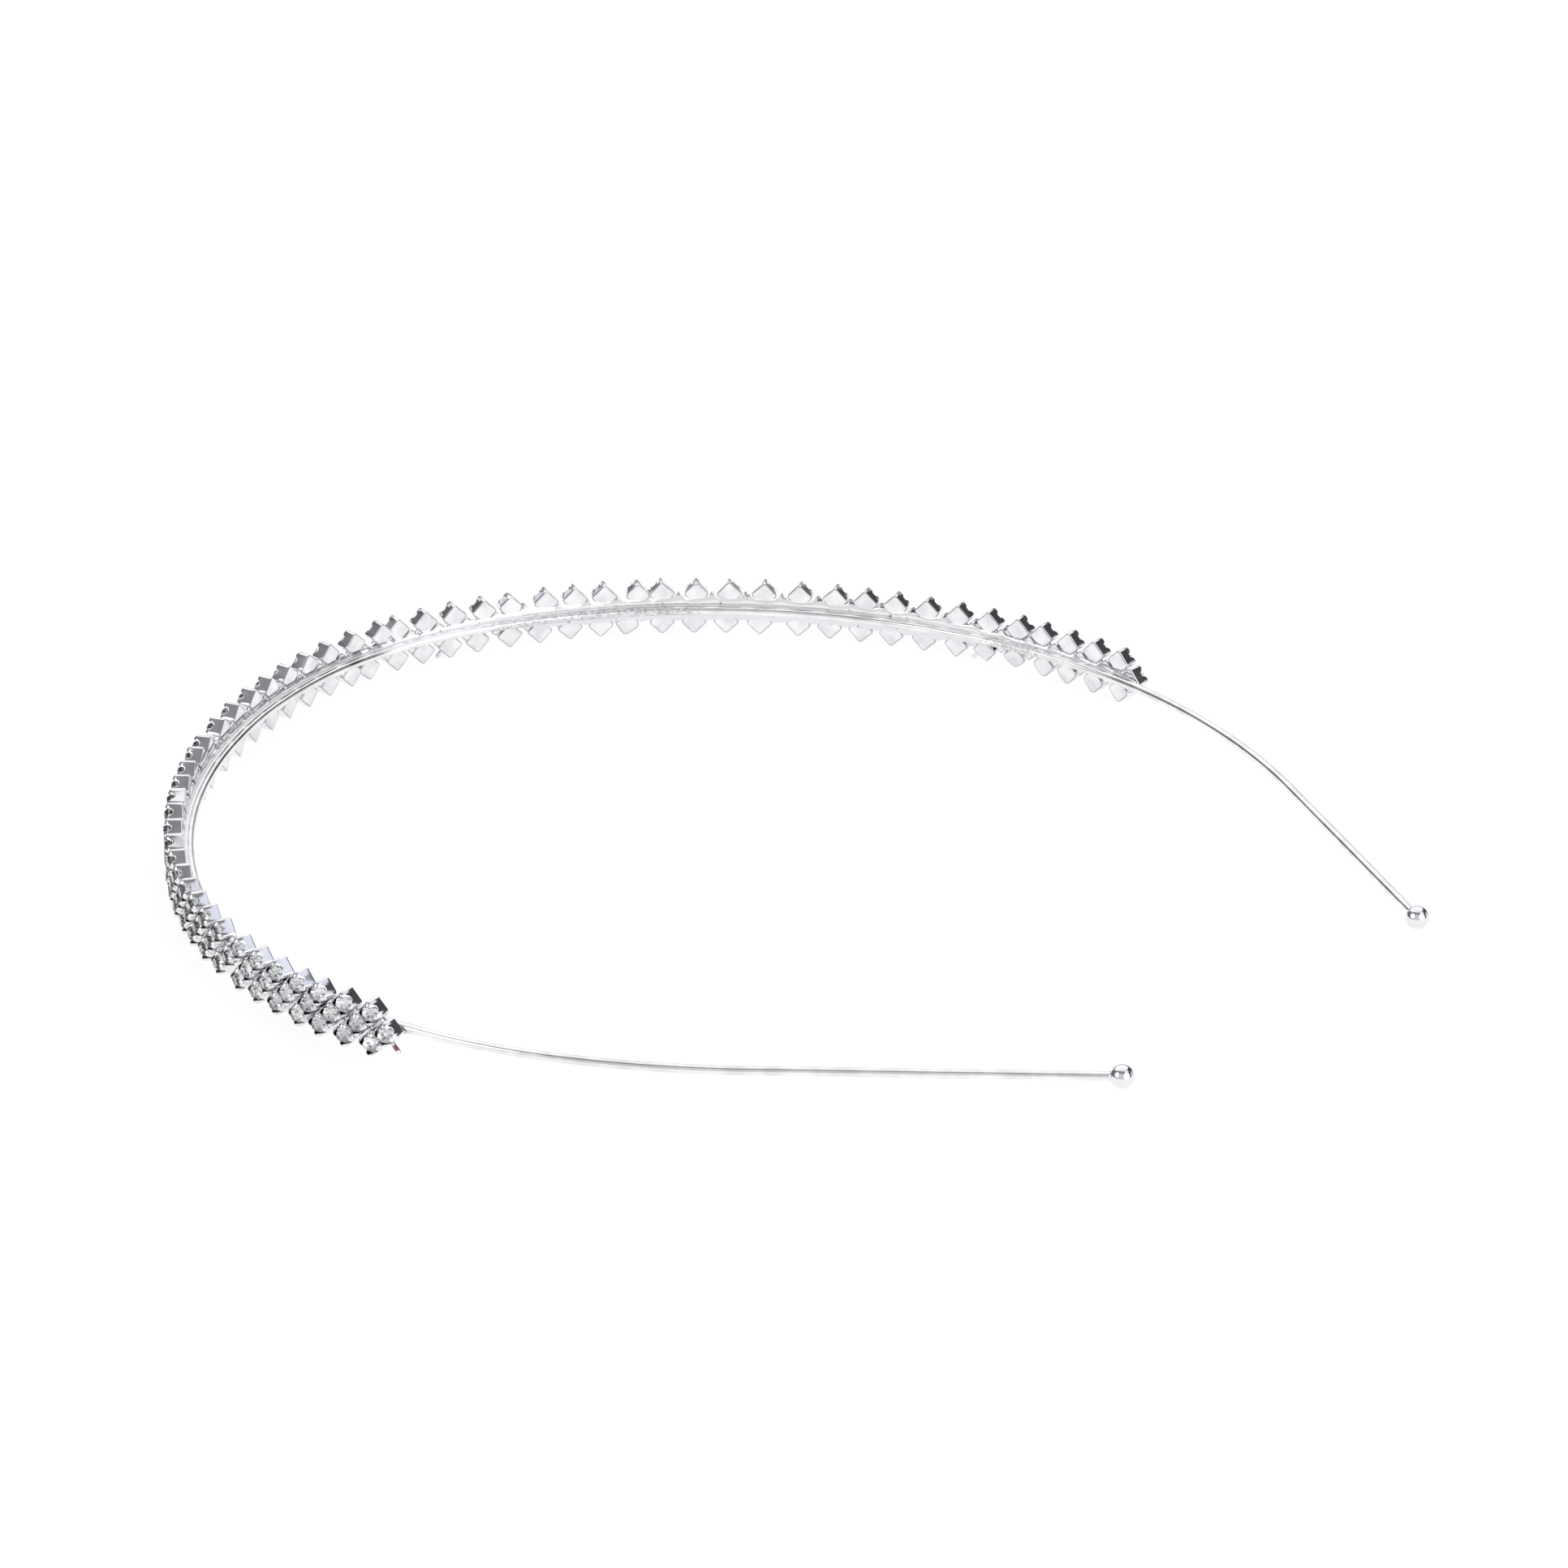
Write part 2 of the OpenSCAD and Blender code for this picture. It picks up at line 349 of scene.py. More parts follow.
def silver_plated_wire():
    """Drawn steel wire with a thin silver plating: smooth, with a soft gloss and slight streaks."""
    material, made = surface("silver_plated_wire", "#e9e9eb", 1.0, 0.16)
    vary(made, 0.4, 4.0, ("#dededf", "#f3f3f3"), roughness=(0.13, 0.24))
    vary(made, 2.5, 3.0, dent=(0.01, 0.4))
    return material


def plated_solder():
    """Silver plating over solder that ran smooth: bright but slightly milky, with a few dark pits
    and very soft hollows, and with painted shade that makes it a little greyer below the wire."""
    material, made = surface("silver_plated_solder", "#f0f0f2", 0.55, 0.15)
    pits = vary(made, 1.7, 4.0, ("#a0a0a2", "#fbfbfc"), (0.29, 0.35), grain=0.55)
    vary(made, 0.8, 2.0, roughness=(0.1, 0.2), dent=(0.02, 0.12))
    tree, shader, place = made
    # Painted shade: the colour turns greyer from the wire's middle down to 0.7 mm below it, towards
    # the table
    greyer_by = 0.7
    height = add(tree, "ShaderNodeSeparateXYZ", [(place, "Vector")]).outputs["Z"]
    below = add(tree, "ShaderNodeMapRange", [(height, "Value")], From_Min=WIRE_Z * MM,
                From_Max=(WIRE_Z - greyer_by) * MM)
    painted_shade_below = add(tree, "ShaderNodeMix", [(below.outputs["Result"], "Factor"), (pits, "A")],
               data_type="RGBA", blend_type="MULTIPLY", B=linear("#ededf0"))
    tree.links.new(painted_shade_below.outputs["Result"], shader.inputs["Base Color"])
    return material


def raw_tin():
    """Tin that froze as it was wiped along the wire: dull light grey, lumpy and pitted."""
    material, made = surface("raw_tin", "#d6d6d7", 1.0, 0.35)
    vary(made, 2.2, 5.0, ("#b4b4b5", "#e6e6e7"), (0.36, 0.6), (0.25, 0.45), (0.05, 0.7), grain=0.6)
    return material


def polished_ball():
    """Barrelled and plated ball: a clean mirror."""
    material, made = surface("polished_silver_ball", "#e6e6e8", 1.0, 0.03)
    vary(made, 1.5, 2.0, roughness=(0.02, 0.06))
    return material


def cut_copper():
    """Bare copper alloy where a joining bar was cut through: reddish brown and matt."""
    material, made = surface("cut_copper", "#80504b", 1.0, 0.35)
    vary(made, 4.0, 3.0, ("#5c3c3a", "#a87f78"), dent=(0.03, 0.6))
    return material


def cup_inside_shade():
    """Painted shade inside each cup: dull dark brass colour where the cup's inside lies in shade.
    """
    material, made = surface("bare_dark_brass", "#4a4740", 1.0, 0.45)
    vary(made, 1.2, 3.0, ("#34322d", "#66635b"))
    return material


def cut_glass():
    """Clear lead-free crystal: the pressed and polished crown of a stone, which shows the foil
    through it."""
    material, made = surface("cut_crystal_glass", "#ffffff", 0.0, 0.0, Transmission_Weight=1.0,
                             IOR=1.56)
    vary(made, 3.0, 2.0, roughness=(0.0, 0.02))
    return material


def silver_foil():
    """Silver foil fired on the back of each stone: it throws the light back through the facets."""
    material, made = surface("silver_foil_back", "#eef0f2", 1.0, 0.16)
    vary(made, 0.3, 1.0, ("#d2d5d8", "#f8f9fa"), (0.3, 0.6))
    return material


def opal_table():
    """Matt opal acrylic of a photographer's light table, lit from below: shadows stay faint."""
    material, made = surface("opal_light_table", "#f0f0f1", 0.0, 0.7, Emission_Strength=0.5,
                             Emission_Color=linear("#ffffff"))
    vary(made, 0.008, 2.0, ("#efeff0", "#f2f2f2"))
    return material


# Mesh making


def smooth_by_angle(mesh, degrees):
    """Smooth shading, with edges sharper than the angle left crisp."""
    work = bmesh.new()
    work.from_mesh(mesh)
    bmesh.ops.recalc_face_normals(work, faces=work.faces)
    for face in work.faces:
        face.smooth = True
    for edge in work.edges:
        edge.smooth = len(edge.link_faces) == 2 and edge.calc_face_angle(0) < math.radians(degrees)
    work.to_mesh(mesh)
    work.free()


def make_mesh(name, points_mm, faces, sharp_degrees):
    """A mesh with the given points and faces, smooth but for its sharp edges."""
    mesh = bpy.data.meshes.new(name)
    mesh.from_pydata([Vector(p) * MM for p in points_mm], [], faces)
    mesh.validate()
    smooth_by_angle(mesh, sharp_degrees)
    return mesh


def ring_faces(rings, count):
    """Quads between closed rings of points that follow each other."""
    return [
        (low + k, low + (k + 1) % count, low + count + (k + 1) % count, low + count + k)
        for low in range(0, (rings - 1) * count, count)
        for k in range(count)
    ]


def tube_mesh(name, rings, sharp_degrees):
    """A closed skin over rings of points, with a flat face at both ends."""
    around = len(rings[0])
    faces = ring_faces(len(rings), around)
    faces.append(tuple(reversed(range(around))))
    faces.append(tuple((len(rings) - 1) * around + k for k in range(around)))
    return make_mesh(name, [point for ring in rings for point in ring], faces, sharp_degrees)


def link(name, mesh):
    """Puts a mesh or a camera into the scene as an object."""
    piece = bpy.data.objects.new(name, mesh)
    bpy.context.scene.collection.objects.link(piece)
    return piece


def settle(piece, slot, *nodes):
    """Joins a finished piece to the frame's body, and hides the solids it stands for. The slot is
    not used.
    """
    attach(piece, BODY)
    if nodes:
        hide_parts(*nodes)


def settle_mesh(mesh, material, *nodes):
    """Settles a metal piece that is made without Geometry Nodes."""
    mesh.materials.append(material)
    settle(link(mesh.name, mesh), METAL_SLOT, *nodes)


def blend_step(low, high, value):
    """0 below low, 1 above high, and a smooth rise between them."""
    t = min(max((value - low) / (high - low), 0), 1)
    return t * t * (3 - 2 * t)


# Geometry Nodes


def new_tree(name, inputs):
    """A geometry tree with a geometry in and out and other named inputs."""
    tree = bpy.data.node_groups.new(name, "GeometryNodeTree")
    tree.interface.new_socket("Geometry", in_out="INPUT", socket_type="NodeSocketGeometry")
    tree.interface.new_socket("Geometry", in_out="OUTPUT", socket_type="NodeSocketGeometry")
    for label, kind in inputs:
        tree.interface.new_socket(label, in_out="INPUT", socket_type=kind)
    given = tree.nodes.new("NodeGroupInput").outputs
    return tree, given, tree.nodes.new("NodeGroupOutput").inputs["Geometry"]


def apply_tree(name, source, tree, values):
    """Runs a tree on a source mesh and returns the result as a plain mesh object."""
    carrier = link(name + "_source", source)
    modifier = carrier.modifiers.new("nodes", "NODES")
    modifier.node_group = tree
    for item in tree.interface.items_tree:
        if item.in_out == "INPUT" and item.name in values:
            modifier[item.identifier] = values[item.name]
    bpy.context.view_layer.update()
    done = carrier.evaluated_get(bpy.context.evaluated_depsgraph_get())
    mesh = bpy.data.meshes.new_from_object(done)
    mesh.name = name
    carrier.modifiers.remove(modifier)
    bpy.data.objects.remove(carrier)
    return link(name, mesh)


def scatter_tree():
    """Puts a collection's parts on points, each turned and chosen by the point's own attributes."""
    tree, given, result = new_tree("set_parts_on_points", [
        ("Parts", "NodeSocketCollection"), ("Material", "NodeSocketMaterial"),
        ("Second material", "NodeSocketMaterial")])
    parts = add(tree, "GeometryNodeCollectionInfo", [(given["Parts"], "Collection")],
                Separate_Children=True, Reset_Children=True)
    turn = add(tree, "GeometryNodeInputNamedAttribute", data_type="FLOAT_VECTOR", Name="turn")
    choice = add(tree, "GeometryNodeInputNamedAttribute", data_type="INT", Name="choice")
    size = add(tree, "GeometryNodeInputNamedAttribute", data_type="FLOAT", Name="size")
    rotation = add(tree, "FunctionNodeEulerToRotation", [(turn.outputs["Attribute"], "Euler")])
    placed = add(tree, "GeometryNodeInstanceOnPoints", [
        (given["Geometry"], "Points"), (parts.outputs["Instances"], "Instance"),
        (choice.outputs["Attribute"], "Instance Index"), (rotation.outputs["Rotation"], "Rotation"),
        (size.outputs["Attribute"], "Scale")], Pick_Instance=True)
    real = add(tree, "GeometryNodeRealizeInstances", [(placed.outputs["Instances"], "Geometry")])
    first = add(tree, "GeometryNodeSetMaterial", [
        (real.outputs["Geometry"], "Geometry"), (given["Material"], "Material")])
    marked = add(tree, "GeometryNodeInputNamedAttribute", data_type="BOOLEAN", Name="second")
    second = add(tree, "GeometryNodeSetMaterial", [
        (first.outputs["Geometry"], "Geometry"), (marked.outputs["Attribute"], "Selection"),
        (given["Second material"], "Material")])
    tree.links.new(second.outputs["Geometry"], result)
    return tree


def places_mesh(name, places):
    """A mesh of bare points, with each one's turn, choice of part and size. Places are (matrix,
    choice, size)."""
    mesh = bpy.data.meshes.new(name)
    mesh.from_pydata([place.to_translation() * MM for place, _, _ in places], [], [])
    for label, kind in (("turn", "FLOAT_VECTOR"), ("choice", "INT"), ("size", "FLOAT")):
        mesh.attributes.new(label, kind, "POINT")
    for k, (place, part, scale) in enumerate(places):
        mesh.attributes["turn"].data[k].vector = place.to_euler()
        mesh.attributes["choice"].data[k].value = part
        mesh.attributes["size"].data[k].value = scale
    return mesh


def scatter(name, tree, meshes, places, material, second=None):
    """Sets meshes on places as one piece. The second material covers the faces marked for it."""
    parts = bpy.data.collections.new(name + "_parts")
    objects = [bpy.data.objects.new(f"{name}_{k:02d}", mesh) for k, mesh in enumerate(meshes)]
    for part in objects:
        parts.objects.link(part)
    piece = apply_tree(name, places_mesh(name + "_points", places), tree, {
        "Parts": parts, "Material": material, "Second material": second or material})
    for part in objects:
        bpy.data.objects.remove(part)
    bpy.data.collections.remove(parts)
    return piece


def sweep_tree():
    """Sweeps a round section along a line of points, with each point's own radius."""
    tree, given, result = new_tree("round_bar_along_points", [
        ("Sides", "NodeSocketInt"), ("Material", "NodeSocketMaterial")])
    line = add(tree, "GeometryNodeMeshToCurve", [(given["Geometry"], "Mesh")])
    radius = add(tree, "GeometryNodeInputNamedAttribute", data_type="FLOAT", Name="reach")
    section = add(tree, "GeometryNodeCurvePrimitiveCircle", [(given["Sides"], "Resolution")],
                  Radius=1.0)
    sized = add(tree, "GeometryNodeSetCurveRadius", [
        (line.outputs["Curve"], "Curve"), (radius.outputs["Attribute"], "Radius")])
    bar = add(tree, "GeometryNodeCurveToMesh", [
        (sized.outputs["Curve"], "Curve"), (section.outputs["Curve"], "Profile Curve"),
        (radius.outputs["Attribute"], "Scale")], Fill_Caps=True)
    smooth = add(tree, "GeometryNodeSetShadeSmooth", [(bar.outputs["Mesh"], "Geometry")])
    real = add(tree, "GeometryNodeRealizeInstances", [(smooth.outputs["Geometry"], "Geometry")])
    coated = add(tree, "GeometryNodeSetMaterial", [
        (real.outputs["Geometry"], "Geometry"), (given["Material"], "Material")])
    tree.links.new(coated.outputs["Geometry"], result)
    return tree


def line_mesh(name, points_mm, reaches_mm):
    """A chain of points with the bar's radius at each."""
    mesh = bpy.data.meshes.new(name)
    edges = [(k, k + 1) for k in range(len(points_mm) - 1)]
    mesh.from_pydata([Vector(p) * MM for p in points_mm], edges, [])
    reach = mesh.attributes.new("reach", "FLOAT", "POINT")
    for k, value in enumerate(reaches_mm):
        reach.data[k].value = value * MM
    return mesh


# Cups, stones and bars


def cup_outline(corner_r):
    """Points round a square with rounded corners, on its corner. Each has its share of the way from
    the middle of a wall (0) to a corner (1)."""
    corner_steps = 3
    shares = (-0.82, -0.56, -0.25, 0.25, 0.56, 0.82)
    half = WALL_SIDE / 2
    flat = half - corner_r
    outline = []
    for quarter in range(4):
        turn = Matrix.Rotation(math.pi / 4 + quarter * math.pi / 2, 2)
        for k in range(corner_steps + 1):
            a = math.pi / 2 * k / corner_steps
            spot = Vector((flat + corner_r * math.cos(a), flat + corner_r * math.sin(a)))
            outline.append((turn @ spot, 1.0))
        for share in shares:
            outline.append((turn @ Vector((-share * flat, half)), abs(share)))
    return outline


def cup_mesh(name, corner_r, prong_lean, arch, seed):
    """Pressed square cup: flat back with a rounded rim, arched walls and four prongs bent over the
    stone. Its inside is marked for painted shade, and so is the rim of its back."""
    wall_t = 0.15
    bend_from = 1.66
    inside_z = 0.35
    unevenness = 0.05
    # Shares of the way to a corner where a prong starts to rise from the wall and where it is full
    prong_foot, prong_side = 0.3, 0.66
    outline = cup_outline(corner_r)
    count = len(outline)

    def top(k, share):
        uneven = unevenness * noise.noise(Vector((k * 0.7, seed * 9.1, 0.3)))
        rise = blend_step(prong_foot, prong_side, share)
        return WALL_H - arch * (1 - share ** 2) + uneven + (PRONG_H - WALL_H) * rise

    # Height as a share of the wall's top, distance in from the outer face, if the height is fixed
    levels = ((0.0, 0.22, True), (0.0, 0.13, True), (0.04, 0.04, True), (0.13, 0.0, True),
              (0.19, 0.0, True), (0.78, 0.0, False), (0.88, 0.0, False), (0.96, 0.02, False),
              (1.0, 0.07, False), (0.96, wall_t, False), (0.78, wall_t, False),
              (inside_z, wall_t + 0.05, True))
    inside_levels = 2
    # How dark the painted shade round the back plate's rim is, at each level that it touches
    painted_rim_shade = {1: 1.0, 2: 0.35}
    points = []
    for height, inset, fixed in levels:
        for k, (spot, share) in enumerate(outline):
            z = height if fixed else height * top(k, share)
            bend = max(0.0, (z - bend_from) / (PRONG_H - bend_from))
            away = inset + prong_lean * bend ** 1.4
            points.append((*(spot * (1 - away / spot.length)), z))
    faces = ring_faces(len(levels), count)
    plated = (len(levels) - 1 - inside_levels) * count
    points += [(0, 0, 0), (0, 0, inside_z)]
    back, inside = len(points) - 2, len(points) - 1
    last = (len(levels) - 1) * count
    faces += [(back, (k + 1) % count, k) for k in range(count)]
    faces += [(inside, last + k, last + (k + 1) % count) for k in range(count)]
    mesh = make_mesh(name, points, faces, sharp_degrees=38)
    # Painted shade: the faces inside the cup take the dark second material
    shaded_inside = mesh.attributes.new("second", "BOOLEAN", "FACE")
    for k in range(len(faces)):
        shaded_inside.data[k].value = plated <= k < last or k >= last + count
    # Painted shade: marks the rim of the back plate, where the plating's colour is darkened
    rim = mesh.attributes.new("rim", "FLOAT", "POINT")
    for level, rim_shade_depth in painted_rim_shade.items():
        for k in range(count):
            rim.data[level * count + k].value = rim_shade_depth
    return mesh


def stone_mesh():
    """Round chaton: an eight-sided table, 24 facets of about one size round it, a thin belt at the
    girdle and sixteen narrow facets on the foiled back."""
    r = GEM_D / 2
    table_r = TABLE_SHARE * r
    belt = BELT_H / 2

    def ring(reach, z, count):
        angles = [2 * math.pi * k / count for k in range(count)]
        return [(reach * math.cos(a), reach * math.sin(a), z) for a in angles]

    points = ring(table_r, GIRDLE_H + CROWN_H, 8)
    points += ring(r, GIRDLE_H + belt, 16) + ring(r, GIRDLE_H - belt, 16)
    points.append((0, 0, GIRDLE_H - PAVILION_H))
    upper, lower, culet = 8, 24, 40
    faces = [tuple(range(8))]
    for k in range(8):
        faces.append((k, upper + (2 * k + 15) % 16, upper + 2 * k))
        faces.append((k, upper + 2 * k, upper + 2 * k + 1))
        faces.append((k, upper + 2 * k + 1, (k + 1) % 8))
    for k in range(16):
        after = (k + 1) % 16
        faces.append((upper + k, lower + k, lower + after, upper + after))
    crown_count = len(faces)
    faces += [(lower + 2 * k, culet, lower + (2 * k + 1) % 16) for k in range(8)]
    faces += [(lower + 2 * k + 1, culet, lower + (2 * k + 2) % 16) for k in range(8)]
    mesh = make_mesh("chaton", points, faces, sharp_degrees=1)
    foiled = mesh.attributes.new("second", "BOOLEAN", "FACE")
    for k, face in enumerate(mesh.polygons):
        foiled.data[k].value = k >= crown_count
        face.use_smooth = False
    return mesh


def bar_mesh(name, length, width, thick):
    """Short bar with rounded edges, lying along X on the back plane."""
    sides = 10
    roundness = 0.6
    # Distance along the bar, and its section there as a share of the full one
    sections = ((0, 0.85), (0.06, 1.0), (0.25 * length, 1.0), (0.7 * length, 0.97),
                (length - 0.06, 0.95), (length, 0.75))
    points = []
    for x, shrink in sections:
        for k in range(sides):
            c, s = math.cos(2 * math.pi * k / sides), math.sin(2 * math.pi * k / sides)
            wide = math.copysign(abs(c) ** roundness, c) * width / 2 * shrink
            deep = math.copysign(abs(s) ** roundness, s) * thick / 2 * shrink
            points.append((x, wide, thick / 2 + deep))
    faces = ring_faces(len(sections), sides)
    faces.append(tuple(range(sides)))
    faces.append(tuple((len(sections) - 1) * sides + k for k in reversed(range(sides))))
    return make_mesh(name, points, faces, sharp_degrees=50)


def make_cups(tree, material, shaded_inside):
    """The three rows of cups, in three slightly different pressings and one with round corners."""
    # Radius of the corners, how far a prong leans in, depth of the arch in a wall, and seed
    shapes = [
        cup_mesh("cup_plain", 0.34, 0.42, 0.07, 1),
        cup_mesh("cup_soft_corners", 0.4, 0.48, 0.1, 2),
        cup_mesh("cup_high_arch", 0.3, 0.36, 0.14, 3),
        cup_mesh("cup_round_corners", 0.62, 0.36, 0.1, 4),
    ]
    rounder = len(shapes) - 1
    rounded = {("upper", 34), ("upper", 38), ("upper", 40), ("lower", 38), ("lower", 50),
               ("lower", 51), ("lower", 52), ("lower", 53), ("lower", 54)}
    size_sway = 0.012
    for row, (first, _, _, count) in ROWS.items():
        places = []
        for k in range(count):
            pressing = int(rounder / 2 * (1 + sway(first + k + SHAPE)))
            choice = rounder if (row, k) in rounded else pressing
            size = 1 + size_sway * sway(first + k + SCALE)
            places.append((cup_place(row, k), choice, size))
        # The second material is painted shade inside the cups
        piece = scatter(f"{row}_cups", tree, shapes, places, material, shaded_inside)
        settle(piece, METAL_SLOT, *(["band"] if row == "upper" else []))


def make_stones(tree, glass, foil):
    """Every stone sits in its cup, turned its own way round and rocked by up to two degrees."""
    most_rock = 2
    places = []
    for row, (first, _, _, count) in ROWS.items():
        for k in range(count):
            n = first + k
            spin = Matrix.Rotation(math.pi * sway(n + SPIN), 4, "Z")
            rock = Euler((math.radians(most_rock * sway(n + ROCK_X)),
                          math.radians(most_rock * sway(n + ROCK_Y)), 0))
            place = cup_place(row, k) @ Matrix.Translation((0, 0, GIRDLE_H))
            place = place @ rock.to_matrix().to_4x4() @ spin @ Matrix.Translation((0, 0, -GIRDLE_H))
            places.append((place, 0, 1.0))
    piece = scatter("crystal_stones", tree, [stone_mesh()], places, glass, foil)
    settle(piece, STONE_SLOT, "stones")


def make_bars(tree, material):
    """Small bars that join each cup of the middle row to its neighbours above and below."""
    bite = 0.15
    lengths = (0.5, 0.8, 1.1, 1.5)
    shapes = [bar_mesh(f"bar_{k}", length, BAR_W, BAR_T) for k, length in enumerate(lengths)]
    places = []
    for place_s, rise in ((upper_s, ROW_RISE), (lower_s, -ROW_RISE)):
        for k in range(STATIONS):
            for side in (0, 1):
                s, after = place_s(k), middle_s(k + side)
                span = math.hypot(after - s, rise) - CUP_SIDE + 2 * bite
                choice = sum(span > length for length in lengths[:-1])
                place = (
                    on_wire((s + after) / 2, BACK_OFF)
                    @ Matrix.Translation((0, rise / 2, BAR_LIFT))
                    @ Matrix.Rotation(math.atan2(rise, after - s), 4, "Z")
                    @ Matrix.Translation((-lengths[choice] / 2, 0, 0))
                )
                places.append((place, choice, 1.0))
    settle(scatter("joining_bars", tree, shapes, places, material), METAL_SLOT)


def make_cut_ends(tree, material, copper):
    """Ends of bars that were cut off below the strip. The first shows copper along its middle."""
    bite = 0.11
    copper_from, copper_to = 0.2, 0.7
    # Cup's place along the wire, its rise, the way its wall faces, how far off that wall's middle
    # the end stands, and its length
    ends = (
        (middle_s(0), SAGGED["middle", 0], -45, -0.9, 1.45),
        (lower_s(6), -ROW_RISE, -135, 0, 0.7),
        (lower_s(32), -ROW_RISE, -45, 0.3, 1.1),
        (lower_s(49), -ROW_RISE, -45, 0.3, 1.1),
    )
    for k, (s, rise, facing, slide, length) in enumerate(ends):
        shape = bar_mesh(f"stub_{k}", length + bite, BAR_W, CUT_BAR_T)
        cut = shape.attributes.new("second", "BOOLEAN", "FACE")
        for n, face in enumerate(shape.polygons):
            cut.data[n].value = k == 0 and copper_from < face.center.x / MM / length < copper_to
        place = (
            on_wire(s, BACK_OFF)
            @ Matrix.Translation((0, rise, BAR_LIFT))
            @ Matrix.Rotation(math.radians(facing), 4, "Z")
            @ Matrix.Translation((CUP_SIDE / 2 - bite, slide, 0))
        )
        piece = scatter(f"cut_bar_end_{k}", tree, [shape], [(place, 0, 1.0)], material, copper)
        settle(piece, METAL_SLOT)


# Wire, solder and balls


def make_wire(tree, material):
    """The bent wire, thicker with solder at both ends of the strip and filed thinner where it
    enters the left ball."""
    step = 0.75
    bend_error = 0.035
    coat_from, coat_reach, coat_share = 3, 5, 0.12
    draw_error = 0.02
    filed_length, filed_share = 4.4, 0.88
    filed_from = LEFT_END - filed_length
    count = int((LEFT_END - RIGHT_END) / step)
    points, reaches = [], []
    for k in range(count + 1):
        s = RIGHT_END + (LEFT_END - RIGHT_END) * k / count
        wave = bend_error * noise.noise(Vector((s * 0.12, 3.1, 0)))
        points.append(on_wire(s) @ Vector((0, wave, 0)))
        coated = max(1 - abs(s - (STRIP_END + coat_from)) / coat_reach,
                     1 - abs(s - (STRIP_START - coat_from)) / coat_reach, 0)
        uneven = draw_error * noise.noise(Vector((s * 0.5, 0.2, 7)))
        reach = WIRE_R * (1 + coat_share * coated + uneven)
        if s > filed_from:
            reach *= filed_share
        reaches.append(reach)
    piece = apply_tree("plated_wire", line_mesh("wire_line", points, reaches), tree, {
        "Sides": 24, "Material": material})
    settle(piece, METAL_SLOT)


def tapered(s, start, end, thinning):
    """1 along a stretch of the wire, and less within a short length at either end of it."""
    return blend_step(start, start + thinning, s) * (1 - blend_step(end - thinning, end, s))


def seam_ring(s, taper, uppers, lowers):
    """Outline of the ribbon of solder at one place, from its top edge down: distance out from the
    middle of the wire, height. It fills the gap to the cups. Its inner side stands upright above
    and below a level shelf on the wire."""
    # Distances along the wire from the middle of a cup where the cup holds the solder back fully,
    # and where it has let go
    upper_near, upper_far = 0.7, 1.8
    lower_near, lower_far = 0.8, 2.2
    # Height as shares of the reach: between cups, less at a cup, and how uneven
    high_open, high_cup, high_rough = 1.3, 0.3, 0.16
    low_open, low_cup, low_rough = 1.2, 0.25, 0.14
    # Along the right arm and just past the crown the solder comes further in, then it draws back
    full_until, drawn_back = 16, 28
    more_in = 0.2
    # How far it stays short of the cups' backs on its inner side, and goes in behind them
    short_of, behind = 0.07, 0.13
    # A groove is left along the top edge, deeper under the upper cups
    groove_depth, groove_more = 0.07, 0.15
    shelf_out, core_out = 0.28, 0.1
    wire_side = WIRE_R * 0.9
    wire_top = WIRE_R * 0.91

    rough = [noise.fractal(Vector((s * 0.9, row, 2.7)), 1.0, 2.0, 3) for row in (4.1, 8.3, 1.9)]
    at_upper = 1 - blend_step(upper_near, upper_far, min(abs(s - cup) for cup in uppers))
    at_lower = 1 - blend_step(lower_near, lower_far, min(abs(s - cup) for cup in lowers))
    above = high_open - high_cup * at_upper + high_rough * rough[0]
    below = low_open - low_cup * at_lower + low_rough * rough[1]
    high = WIRE_R + taper * crept(SEAM_ABOVE, s) * above
    low = WIRE_R + taper * crept(SEAM_BELOW, s) * below
    full = 1 - blend_step(full_until, drawn_back, s)
    back = wire_side + taper * (BACK_OFF - short_of - more_in * full - wire_side) + 0.02 * rough[2]
    front = wire_side + taper * (BACK_OFF + behind - wire_side)
    groove = (groove_depth + groove_more * at_upper) * taper
    shelf_high = min(wire_top, high - 0.05)
    shelf_low = min(wire_top, low - 0.05)
    return (
        (front, high - 0.04),
        (back + 0.7 * groove, high),
        (back - 0.1 * groove, high - groove),
        (back - 0.03, min(high - groove - 0.03, WIRE_R - 0.02)),
        (shelf_out, shelf_high),
        (core_out, 0.7 * shelf_high),
        (core_out, -0.7 * shelf_low),
        (shelf_out, -shelf_low),
        (back - 0.02, -min(low - 0.1, WIRE_R + 0.04)),
        (back, 0.07 - low),
        (back + 0.06 * taper, -low),
        (front, 0.05 - low),
    )


def make_seam(material):
    """Ribbon of solder between the wire and the backs of the cups. It ran up between the lower cups
    and under the upper ones, so its edges follow the cups, and it thins out at the strip's ends."""
    step = 0.25
    thinning = 2.5
    start, end = STRIP_START - SEAM_REACH, STRIP_END + SEAM_REACH
    count = int((end - start) / step)
    uppers = [upper_s(k) for k in range(STATIONS)]
    lowers = [lower_s(k) for k in range(STATIONS)]
    rings = []
    for k in range(count + 1):
        s = start + (end - start) * k / count
        place = on_wire(s)
        ring = seam_ring(s, tapered(s, start, end, thinning), uppers, lowers)
        rings.append([place @ Vector((0, height, out)) for out, height in ring])
    settle_mesh(tube_mesh("solder_seam", rings, sharp_degrees=55), material)


